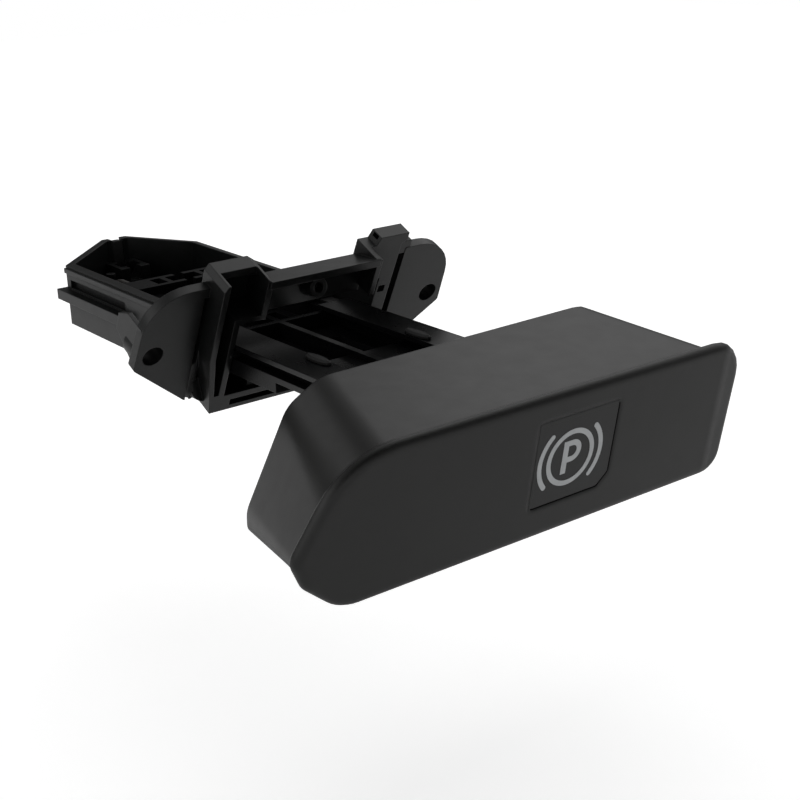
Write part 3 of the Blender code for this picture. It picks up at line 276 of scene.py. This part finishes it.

# %% [markdown]
# ## Painted shade on the slide's rear
#
# Near the bracket the slide lies in the bracket's shade, so its sheen is painted darker the nearer it is to
# it: painted shade. Less sheen could come from a second material, but then there would be a line between
# the two. So the sheen that the nooks leave is multiplied by a value that fades along the slide.

# %% Painted shade along the slide
SHADE_START, SHADE_END, SHADED_SHEEN = -30, -6, 0.12
slide_shader = slide_acetal.node_tree.nodes["Principled BSDF"]
slide_place = add(slide_acetal, "ShaderNodeTexCoord")
slide_split = add(slide_acetal, "ShaderNodeSeparateXYZ", links={"Vector": slide_place.outputs["Object"]})
# Painted shade: the sheen falls from full at one end of this span to its lowest level near the bracket.
slide_painted_shade = add(slide_acetal, "ShaderNodeMapRange",
                 inputs={"From Min": SHADE_START * MM, "From Max": SHADE_END * MM,
                         "To Min": 1.0, "To Max": SHADED_SHEEN},
                 links={"Value": slide_split.outputs["Y"]})
slide_nook = slide_shader.inputs["Specular IOR Level"].links[0].from_socket
slide_sheen = add(slide_acetal, "ShaderNodeMath", {"operation": "MULTIPLY"},
                  links={0: slide_nook, 1: slide_painted_shade.outputs["Result"]})
slide_acetal.node_tree.links.new(slide_sheen.outputs["Value"], slide_shader.inputs["Specular IOR Level"])
print("sheen fades between y in mm", SHADE_START, SHADE_END)

# %% [markdown]
# ## Metal parts
#
# The screws are steel with a black zinc plating, an even, slightly blotchy dark coat that still shines as
# metal does. The return spring is oil-tempered steel wire, dark grey-brown with faint marks from the
# drawing die.

# %% Black zinc and spring wire
screw_zinc, zinc_shader = principled("black_zinc_plated_steel", "#2c2c2e", 0.38, metallic=1.0)
zinc_blotch = clouded(screw_zinc, zinc_shader, 1.2, 4.0, "#232325", "#3a3a3d")
zinc_rough = add(screw_zinc, "ShaderNodeMapRange", inputs={"To Min": 0.28, "To Max": 0.5},
                 links={"Value": zinc_blotch.outputs["Fac"]})
screw_zinc.node_tree.links.new(zinc_rough.outputs["Result"], zinc_shader.inputs["Roughness"])

spring_wire, wire_shader = principled("oil_tempered_spring_steel_wire", "#3c3b3a", 0.32, metallic=1.0)
wire_mark = clouded(spring_wire, wire_shader, 0.5, 3.0, "#323130", "#484644")
wire_bump = add(spring_wire, "ShaderNodeBump", inputs={"Strength": 0.2, "Distance": 0.01 * MM},
                links={"Height": wire_mark.outputs["Fac"]})
spring_wire.node_tree.links.new(wire_bump.outputs["Normal"], wire_shader.inputs["Normal"])
print("two metals made")

# %% Give each CAD node its finish
FINISH = {
    "grip_cover": grip_abs, "symbol_insert": plate_abs,
    "slide_carriage": slide_acetal, "crosshead": slide_acetal,
    "guide_bracket": bracket_nylon, "cable_tray": bracket_nylon, "return_spring": spring_wire,
}
for name, node in nodes.items():
    finish = FINISH.get(name)
    if finish is None:
        finish = screw_zinc if "screw" in name else pad_rubber
    node.data.materials.clear()
    node.data.materials.append(finish)
print({name: node.data.materials[0].name for name, node in nodes.items()})

# %% [markdown]
# ## The spring's swept wire
#
# The return spring hooks on the tray's post at one end and on the crosshead's eye at the other, so it gets
# longer as the handle comes out. One rigid mesh can't show that, and a mesh that is pulled out would draw
# the wire into a ribbon. Here the wire's middle line is a chain of points with the sizes of the CAD spring,
# at one length: a hook that passes through the eye, the turns, and a loop round the post. A modifier then
# sweeps a round wire along the line, which keeps its 0.8 mm.

# %% The wire's middle line
COIL_RADIUS, COIL_TURNS, TURN_STEPS = 2.6, 13, 16
COIL_FRONT, COIL_BACK, COIL_HEIGHT = 58.8, 73.4, -5.8
HOOK_Y = 57.1
HOOK_BEND = [(-2.0, 0.2), (0.0, 0.0), (2.0, 0.4), (2.4, 1.6)]
POST_Y, LOOP_RADIUS, LOOP_STEPS = 77.2, 1.9, 16
LOOP_START, LOOP_SWEEP = -60, 300
spring_low, spring_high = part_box("return_spring")
coil_x = (spring_low.x + spring_high.x) / 2 / MM
wire_line = [(coil_x + across, HOOK_Y + along, COIL_HEIGHT) for across, along in HOOK_BEND]
for k in range(COIL_TURNS * TURN_STEPS + 1):
    turn = math.tau * k / TURN_STEPS
    across, rise = COIL_RADIUS * math.cos(turn), COIL_RADIUS * math.sin(turn)
    along = COIL_FRONT + (COIL_BACK - COIL_FRONT) * k / (COIL_TURNS * TURN_STEPS)
    wire_line.append((coil_x + across, along, COIL_HEIGHT + rise))
for k in range(LOOP_STEPS + 1):
    turn = math.radians(LOOP_START + LOOP_SWEEP * k / LOOP_STEPS)
    across, along = LOOP_RADIUS * math.cos(turn), LOOP_RADIUS * math.sin(turn)
    wire_line.append((coil_x + across, POST_Y + along, COIL_HEIGHT))
print("points on the wire", len(wire_line))

# %% Swept coil
WIRE_RADIUS, WIRE_SIDES = 0.4, 8
coil_data = bpy.data.meshes.new("stretching_spring")
coil_data.from_pydata([Vector(q) * MM for q in wire_line], [(k, k + 1) for k in range(len(wire_line) - 1)], [])
coil_data.materials.append(spring_wire)
coil = bpy.data.objects.new("stretching_spring", coil_data)
bpy.context.scene.collection.objects.link(coil)
sweep, sweep_in, sweep_out = modifier_group("round_wire")
to_line = add(sweep, "GeometryNodeMeshToCurve", links={"Mesh": sweep_in.outputs[0]})
section = add(sweep, "GeometryNodeCurvePrimitiveCircle",
              inputs={"Resolution": WIRE_SIDES, "Radius": WIRE_RADIUS * MM})
to_wire = add(sweep, "GeometryNodeCurveToMesh", inputs={"Fill Caps": True},
              links={"Curve": to_line.outputs["Curve"], "Profile Curve": section.outputs["Curve"]})
round_off = add(sweep, "GeometryNodeSetShadeSmooth", links={"Geometry": to_wire.outputs["Mesh"]})
finish_wire = add(sweep, "GeometryNodeSetMaterial", inputs={"Material": spring_wire},
                  links={"Geometry": round_off.outputs["Geometry"]})
sweep.links.new(finish_wire.outputs["Geometry"], sweep_out.inputs[0])
coil.modifiers.new("wire", "NODES").node_group = sweep
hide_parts("return_spring")
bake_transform(coil)
print("turns", COIL_TURNS, "that spread between y in mm", COIL_BACK, COIL_FRONT)

# %% [markdown]
# ## The printed brake symbol
#
# On the real handle a small plate is let into the front panel, and the usual parking brake sign is pad
# printed on it in pale grey: a P in a ring between two arcs. A picture texture could carry it, but it would
# blur close up. Here each stroke is a thin skin of ink with its own outline, laid on the plate, so that it
# stays sharp from any distance and has the small thickness that real ink has, drawn at 0.04 mm.
#
# The panel leans back at the bottom, so a small function places points given across and up the panel.

# %% The panel's plane
PANEL_TILT = math.radians(10.8)
PANEL_FOOT = Vector((0.0, -81.3 * MM, -8.7 * MM))
INK_UNDER = 0.05
INK_TOP = 0.01


def panel_point(across, up, depth):
    """Millimetres across, up along the panel and behind its face, as a point in the frame."""
    c, s = math.cos(PANEL_TILT), math.sin(PANEL_TILT)
    return PANEL_FOOT + Vector((across, depth * c - up * s, depth * s + up * c)) * MM


print("panel normal", [round(v, 3) for v in (panel_point(0, 0, 0) - panel_point(0, 0, 1)).normalized()])

# %% Strokes of ink
SIGN_AT = (4.05, 0.0)
RING_RADIUS = 5.4
ARC_RADIUS = 7.65
STROKE_WIDTH = 1.05
LEFT_ARC, RIGHT_ARC = (134, 220), (-42, 43)


def stroke(path, width, closed=False, steps=8):
    """Left and right edges of a line of even width, with round ends where it is open."""
    count = len(path)
    left, right = [], []
    for i, p in enumerate(path):
        if closed:
            ahead = Vector(path[(i + 1) % count]) - Vector(path[i - 1])
        else:
            ahead = Vector(path[min(i + 1, count - 1)]) - Vector(path[max(i - 1, 0)])
        ahead.normalize()
        side = Vector((-ahead.y, ahead.x)) * width / 2
        left.append(Vector(p) + side)
        right.append(Vector(p) - side)
    if closed:
        return [left, right]
    tip = Vector(path[-1])
    arm = left[-1] - tip
    cap = [tip + Matrix.Rotation(-math.pi * k / steps, 2) @ arm for k in range(1, steps)]
    foot = Vector(path[0])
    arm = right[0] - foot
    heel = [foot + Matrix.Rotation(-math.pi * k / steps, 2) @ arm for k in range(1, steps)]
    return [left + cap + right[::-1] + heel]


def arc(radius, first, last, steps=40):
    """Points on a circle about the sign's middle, angles in degrees."""
    x, y = SIGN_AT
    out = []
    for k in range(steps + 1):
        turn = math.radians(first + (last - first) * k / steps)
        out.append((x + radius * math.cos(turn), y + radius * math.sin(turn)))
    return out


def skin(name, loops, place, body):
    """A closed skin from loops of points, a second loop being a hole; place puts each point at its depth."""
    mesh = bmesh.new()
    edges = []
    for loop in loops:
        verts = [mesh.verts.new((p[0], p[1], 0.0)) for p in loop]
        for i, v in enumerate(verts):
            edges.append(mesh.edges.new((v, verts[(i + 1) % len(verts)])))
    bmesh.ops.triangle_fill(mesh, edges=edges, use_beauty=True)
    flat = mesh.faces[:]
    grown = bmesh.ops.extrude_face_region(mesh, geom=flat)
    for v in grown["geom"]:
        if isinstance(v, bmesh.types.BMVert):
            v.co.z = 1.0
    for v in mesh.verts:
        v.co = place(v.co.x, v.co.y, v.co.z)
    bmesh.ops.recalc_face_normals(mesh, faces=mesh.faces)
    data = bpy.data.meshes.new(name)
    mesh.to_mesh(data)
    mesh.free()
    piece = bpy.data.objects.new(name, data)
    bpy.context.scene.collection.objects.link(piece)
    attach(piece, body)
    return piece


def ink_skin(name, loops):
    """A stroke of ink on the symbol plate."""
    return skin(name, loops, lambda x, h, t: panel_point(x, h, INK_UNDER + (INK_TOP - INK_UNDER) * t),
                "handle")


ring = stroke(arc(RING_RADIUS, 0, 360, 72)[:-1], STROKE_WIDTH, closed=True)
signs = [ink_skin("sign_ring", ring)]
signs.append(ink_skin("sign_arc_left", stroke(arc(ARC_RADIUS, *LEFT_ARC), STROKE_WIDTH)))
signs.append(ink_skin("sign_arc_right", stroke(arc(ARC_RADIUS, *RIGHT_ARC), STROKE_WIDTH)))
print([s.name for s in signs])

# %% The letter P
P_LEFT, P_RIGHT, P_FOOT, P_HEAD = 2.0, 6.55, -3.25, 3.6
P_BOWL, BOWL_STEPS = 2.3, 16
P_WIDTH = 1.3
P_THIN = P_WIDTH * 0.9


def letter_outline():
    """Stem and bowl as one outline, and the eye of the bowl as a hole."""
    middle = P_HEAD - P_BOWL
    outer = [(P_LEFT, P_FOOT), (P_LEFT + P_WIDTH, P_FOOT), (P_LEFT + P_WIDTH, P_HEAD - 2 * P_BOWL)]
    eye = [(P_LEFT + P_WIDTH, P_HEAD - 2 * P_BOWL + P_THIN)]
    for k in range(BOWL_STEPS + 1):
        turn = math.pi * (k / BOWL_STEPS - 0.5)
        x = P_RIGHT - P_BOWL
        outer.append((x + P_BOWL * math.cos(turn), middle + P_BOWL * math.sin(turn)))
        inner = P_BOWL - P_THIN
        eye.append((x + inner * math.cos(turn), middle + inner * math.sin(turn)))
    outer.append((P_LEFT, P_HEAD))
    eye.append((P_LEFT + P_WIDTH, P_HEAD - P_THIN))
    return [outer, eye]


signs.append(ink_skin("sign_letter", letter_outline()))
print("letter height in mm", P_HEAD - P_FOOT)

# %% [markdown]
# ## Pad printing ink
#
# Pad ink is a thin, satin, pale grey lacquer. It is not quite even: the pad leaves it a little thinner in
# places and at its edges, so the black below shows through as faint clouds.

# %% Ink material
ink, ink_shader = principled("pale_grey_pad_print_ink", "#c8cacb", 0.5, 1.5)
clouded(ink, ink_shader, 1.6, 4.0, "#bcbfc1", "#d3d5d6")
for sign in signs:
    sign.data.materials.append(ink)
print("ink on", len(signs), "pieces")

# %% [markdown]
# ## The plate's closed seam
#
# The plate hooks under the panel at its left and top edges and is pressed home at the others. So its seam
# is closed and hardly seen on two sides, and open as a fine dark line on the right and below. The closed
# sides are narrow skins of the panel's own plastic, a few hundredths of a millimetre thick, laid over the
# joint.

# %% Closed seam
PLATE_LEFT, PLATE_TOP, PLATE_RIGHT, PLATE_FOOT = -4.5, 8.7, 14.9, -8.7
SEAM_HALF, SEAM_UNDER, SEAM_PROUD = 0.36, 0.04, 0.015
seam_abs = moulded("satin_grained_black_abs_flush", *GRIP_PLASTIC, 0.04)
seam_loops = [[
    (PLATE_LEFT - SEAM_HALF, PLATE_FOOT - SEAM_HALF), (PLATE_LEFT + SEAM_HALF, PLATE_FOOT + SEAM_HALF),
    (PLATE_LEFT + SEAM_HALF, PLATE_TOP - SEAM_HALF), (PLATE_RIGHT - SEAM_HALF, PLATE_TOP - SEAM_HALF),
    (PLATE_RIGHT + SEAM_HALF, PLATE_TOP + SEAM_HALF), (PLATE_LEFT - SEAM_HALF, PLATE_TOP + SEAM_HALF),
]]
seam = skin("plate_seam", seam_loops,
            lambda x, h, t: panel_point(x, h, SEAM_UNDER - (SEAM_UNDER + SEAM_PROUD) * t),
            "handle")
seam.data.materials.append(seam_abs)
print("seam skin in mm", [round(v / MM, 1) for v in seam.dimensions])

# %% [markdown]
# ## Outlet grommet
#
# The cable leaves the tray through a notch in its pointed end. A soft rubber grommet closes the notch, so
# that grit stays out. It is pressed in from above and is the same matt rubber as the pads. Its web is
# pierced only when the cable is drawn through, and no cable is fitted here, so it is whole.

# %% Grommet in the notch
NOTCH_FRONT, NOTCH_BACK = 86.4, 88.4
GROMMET_HALF, GROMMET_FOOT, GROMMET_HEAD, GROMMET_CORNER = 1.5, -4.85, 3.7, 0.4
grommet_in = GROMMET_HALF - GROMMET_CORNER
grommet_edge = [(-GROMMET_HALF, GROMMET_FOOT + GROMMET_CORNER), (-grommet_in, GROMMET_FOOT),
                (grommet_in, GROMMET_FOOT), (GROMMET_HALF, GROMMET_FOOT + GROMMET_CORNER),
                (GROMMET_HALF, GROMMET_HEAD - GROMMET_CORNER), (grommet_in, GROMMET_HEAD),
                (-grommet_in, GROMMET_HEAD), (-GROMMET_HALF, GROMMET_HEAD - GROMMET_CORNER)]
grommet = skin("outlet_grommet", [grommet_edge],
               lambda x, h, t: Vector((x, NOTCH_FRONT + (NOTCH_BACK - NOTCH_FRONT) * t, h)) * MM,
               "bracket")
grommet.data.materials.append(pad_rubber)
print("grommet in mm", [round(v / MM, 1) for v in grommet.dimensions])

# %% [markdown]
# ## White studio
#
# The part is black, so what is seen on it is mostly reflection. It stands before a white sweep, but what it
# mirrors is a room with lighter and darker walls. For glossy rays the world is therefore a grey ramp by
# height, times a grey ramp from side to side, a little darker towards the front, plus a pale wall near the
# camera on the left. An even dome of lamps would be simpler, but it would give every side of the part the
# same grey.
#
# What looks straight at the world, or through something clear, sees plain white, and matt surfaces get one
# even level. One large soft box lights from the right and above, and a dark card hangs in front and above,
# where a studio is dark behind the camera, and draws the dark band under the grip's upper edge. Only the
# camera sees the floor's lift to white, so that lift lights nothing.

# %% World
world = bpy.data.worlds.new("white_sweep")
bpy.context.scene.world = world
world.use_nodes = True
sky = world.node_tree.nodes["Background"]
sky_place = add(world, "ShaderNodeTexCoord")
sky_split = add(world, "ShaderNodeSeparateXYZ", links={"Vector": sky_place.outputs["Generated"]})
SKY_STEPS = [(0.0, 0.14), (0.12, 0.15), (0.24, 0.26), (0.40, 0.80), (0.75, 0.30), (1.0, 0.52)]
SIDE_STEPS = [(0.20, 1.0), (0.33, 0.35), (0.50, 0.60), (0.555, 1.0),
              (0.59, 0.10), (0.66, 0.14), (0.74, 0.40), (0.79, 1.0)]
FRONT_FADE = {"From Min": -0.6, "From Max": 0.2, "To Min": 0.7, "To Max": 1.0}
NEAR_WALL_AT = (-0.75, -0.65, 0.12)
NEAR_WALL = {"From Min": 0.25, "From Max": 0.75, "To Min": 0.0, "To Max": 0.6}
MATT_LEVEL = 0.64


def sky_steps(steps, socket):
    """A grey ramp with a stop at each (position, level)."""
    ramp = add(world, "ShaderNodeValToRGB", links={"Fac": socket})
    stops = ramp.color_ramp.elements
    while len(stops) < len(steps):
        stops.new(0.5)
    for stop, (position, level) in zip(stops, steps):
        stop.position = position
        stop.color = (level, level, level, 1.0)
    return ramp


sky_ramp = sky_steps(SKY_STEPS, sky_split.outputs["Z"])
sky_front = add(world, "ShaderNodeMapRange", inputs=FRONT_FADE, links={"Value": sky_split.outputs["Y"]})
sky_across = add(world, "ShaderNodeMapRange", inputs={"From Min": -1.0, "From Max": 1.0},
                 links={"Value": sky_split.outputs["X"]})
sky_left = sky_steps(SIDE_STEPS, sky_across.outputs["Result"])
sky_sides = add(world, "ShaderNodeMath", {"operation": "MULTIPLY"},
                links={0: sky_left.outputs["Color"], 1: sky_front.outputs["Result"]})
sky_back = add(world, "ShaderNodeMath", {"operation": "MULTIPLY"},
               links={0: sky_ramp.outputs["Color"], 1: sky_sides.outputs["Value"]})
sky_toward = add(world, "ShaderNodeVectorMath", {"operation": "DOT_PRODUCT"}, {1: NEAR_WALL_AT},
                 {0: sky_place.outputs["Generated"]})
sky_near = add(world, "ShaderNodeMapRange", inputs=NEAR_WALL, links={"Value": sky_toward.outputs["Value"]})
sky_mirror = add(world, "ShaderNodeMath", {"operation": "ADD"},
                 links={0: sky_back.outputs["Value"], 1: sky_near.outputs["Result"]})
sky_ray = add(world, "ShaderNodeLightPath")
sky_first = add(world, "ShaderNodeMix", inputs={"A": MATT_LEVEL},
                links={"Factor": sky_ray.outputs["Is Glossy Ray"], "B": sky_mirror.outputs["Value"]})
sky_seen = add(world, "ShaderNodeMath", {"operation": "MAXIMUM"},
               links={0: sky_ray.outputs["Is Camera Ray"], 1: sky_ray.outputs["Is Transmission Ray"]})
sky_level = add(world, "ShaderNodeMix", inputs={"B": 1.0},
                links={"Factor": sky_seen.outputs["Value"], "A": sky_first.outputs["Result"]})
sky.inputs["Color"].default_value = (1.0, 1.0, 1.0, 1.0)
world.node_tree.links.new(sky_level.outputs["Result"], sky.inputs["Strength"])
print("world ready")

# %% Floor
FLOOR_DROP = 55 * MM
FLOOR_HALF = 1.6
FLOOR_LIFT = 0.57


def card(name, corners, mat):
    """A flat board from four corners."""
    data = bpy.data.meshes.new(name)
    data.from_pydata(corners, [], [(0, 1, 2, 3)])
    board = bpy.data.objects.new(name, data)
    bpy.context.scene.collection.objects.link(board)
    data.materials.append(mat)
    return board


floor_paint, floor_shader = principled("matt_white_paper", "#f2f2f2", 0.8)
clouded(floor_paint, floor_shader, 2.0, 3.0, "#f0f0f0", "#f6f6f6")
floor_ray = add(floor_paint, "ShaderNodeLightPath")
floor_glow = add(floor_paint, "ShaderNodeMapRange", inputs={"To Min": 0.0, "To Max": FLOOR_LIFT},
                 links={"Value": floor_ray.outputs["Is Camera Ray"]})
floor_shader.inputs["Emission Color"].default_value = (1.0, 1.0, 1.0, 1.0)
floor_paint.node_tree.links.new(floor_glow.outputs["Result"], floor_shader.inputs["Emission Strength"])
floor_z = cad_low.z - FLOOR_DROP
floor_corners = [(FLOOR_HALF * x, FLOOR_HALF * y, floor_z) for x, y in ((-1, -1), (1, -1), (1, 1), (-1, 1))]
card("paper_floor", floor_corners, floor_paint)
print("floor at mm", round(floor_z / MM, 1))

# %% Lamp and dark card
LAMP_AT, LAMP_SIZE, LAMP_WATTS = Vector((0.50, 0.15, 0.80)), 0.9, 1.5
CARD_LEFT, CARD_RIGHT = -0.9, 0.7
CARD_FOOT, CARD_HEAD = (-0.75, 0.25), (-0.35, 0.95)
middle = (cad_low + cad_high) / 2
lamp = bpy.data.lights.new("top_soft_box", "AREA")
lamp.shape = "RECTANGLE"
lamp.size = lamp.size_y = LAMP_SIZE
lamp.energy = LAMP_WATTS
lamp_stand = bpy.data.objects.new("top_soft_box", lamp)
bpy.context.scene.collection.objects.link(lamp_stand)
lamp_stand.location = LAMP_AT
lamp_stand.rotation_euler = (middle - LAMP_AT).to_track_quat("-Z", "Y").to_euler()
dark_paint, dark_shader = principled("black_flock_card", "#0c0c0c", 0.9)
clouded(dark_paint, dark_shader, 4.0, 2.0, "#0a0a0a", "#101010")
dark = card("dark_card", [(CARD_LEFT, *CARD_FOOT), (CARD_RIGHT, *CARD_FOOT),
                          (CARD_RIGHT, *CARD_HEAD), (CARD_LEFT, *CARD_HEAD)], dark_paint)
dark.visible_camera = False
print("lamp and card placed")

# %% [markdown]
# ## Camera
#
# The camera stands to the left of the grip and a little above it, with a long lens, and leans by under two
# degrees. Its place was found from corners of the part whose places are known in the CAD model.

# %% Camera
AZIMUTH, ELEVATION, LEAN = math.radians(-37.4), math.radians(19.7), math.radians(-1.6)
CAMERA_AT = Vector((-163.87, -250.33, 87.83)) * MM
LENS_MM, SENSOR_MM = 63, 36
flat = math.cos(ELEVATION)
back = Vector((math.sin(AZIMUTH) * flat, -math.cos(AZIMUTH) * flat, math.sin(ELEVATION)))
level_right = Vector((0, 0, 1)).cross(back).normalized()
level_up = back.cross(level_right)
right = math.cos(LEAN) * level_right + math.sin(LEAN) * level_up
up = -math.sin(LEAN) * level_right + math.cos(LEAN) * level_up
lens = bpy.data.cameras.new("camera")
lens.lens = LENS_MM
lens.sensor_width = SENSOR_MM
lens.clip_start = 0.01
camera = bpy.data.objects.new("camera", lens)
bpy.context.scene.collection.objects.link(camera)
camera.matrix_world = Matrix(((right.x, up.x, back.x, CAMERA_AT.x), (right.y, up.y, back.y, CAMERA_AT.y),
                              (right.z, up.z, back.z, CAMERA_AT.z), (0, 0, 0, 1)))
bpy.context.scene.camera = camera
bpy.context.scene.view_settings.view_transform = "Standard"
print("camera distance in mm", round((CAMERA_AT - middle).length / MM))
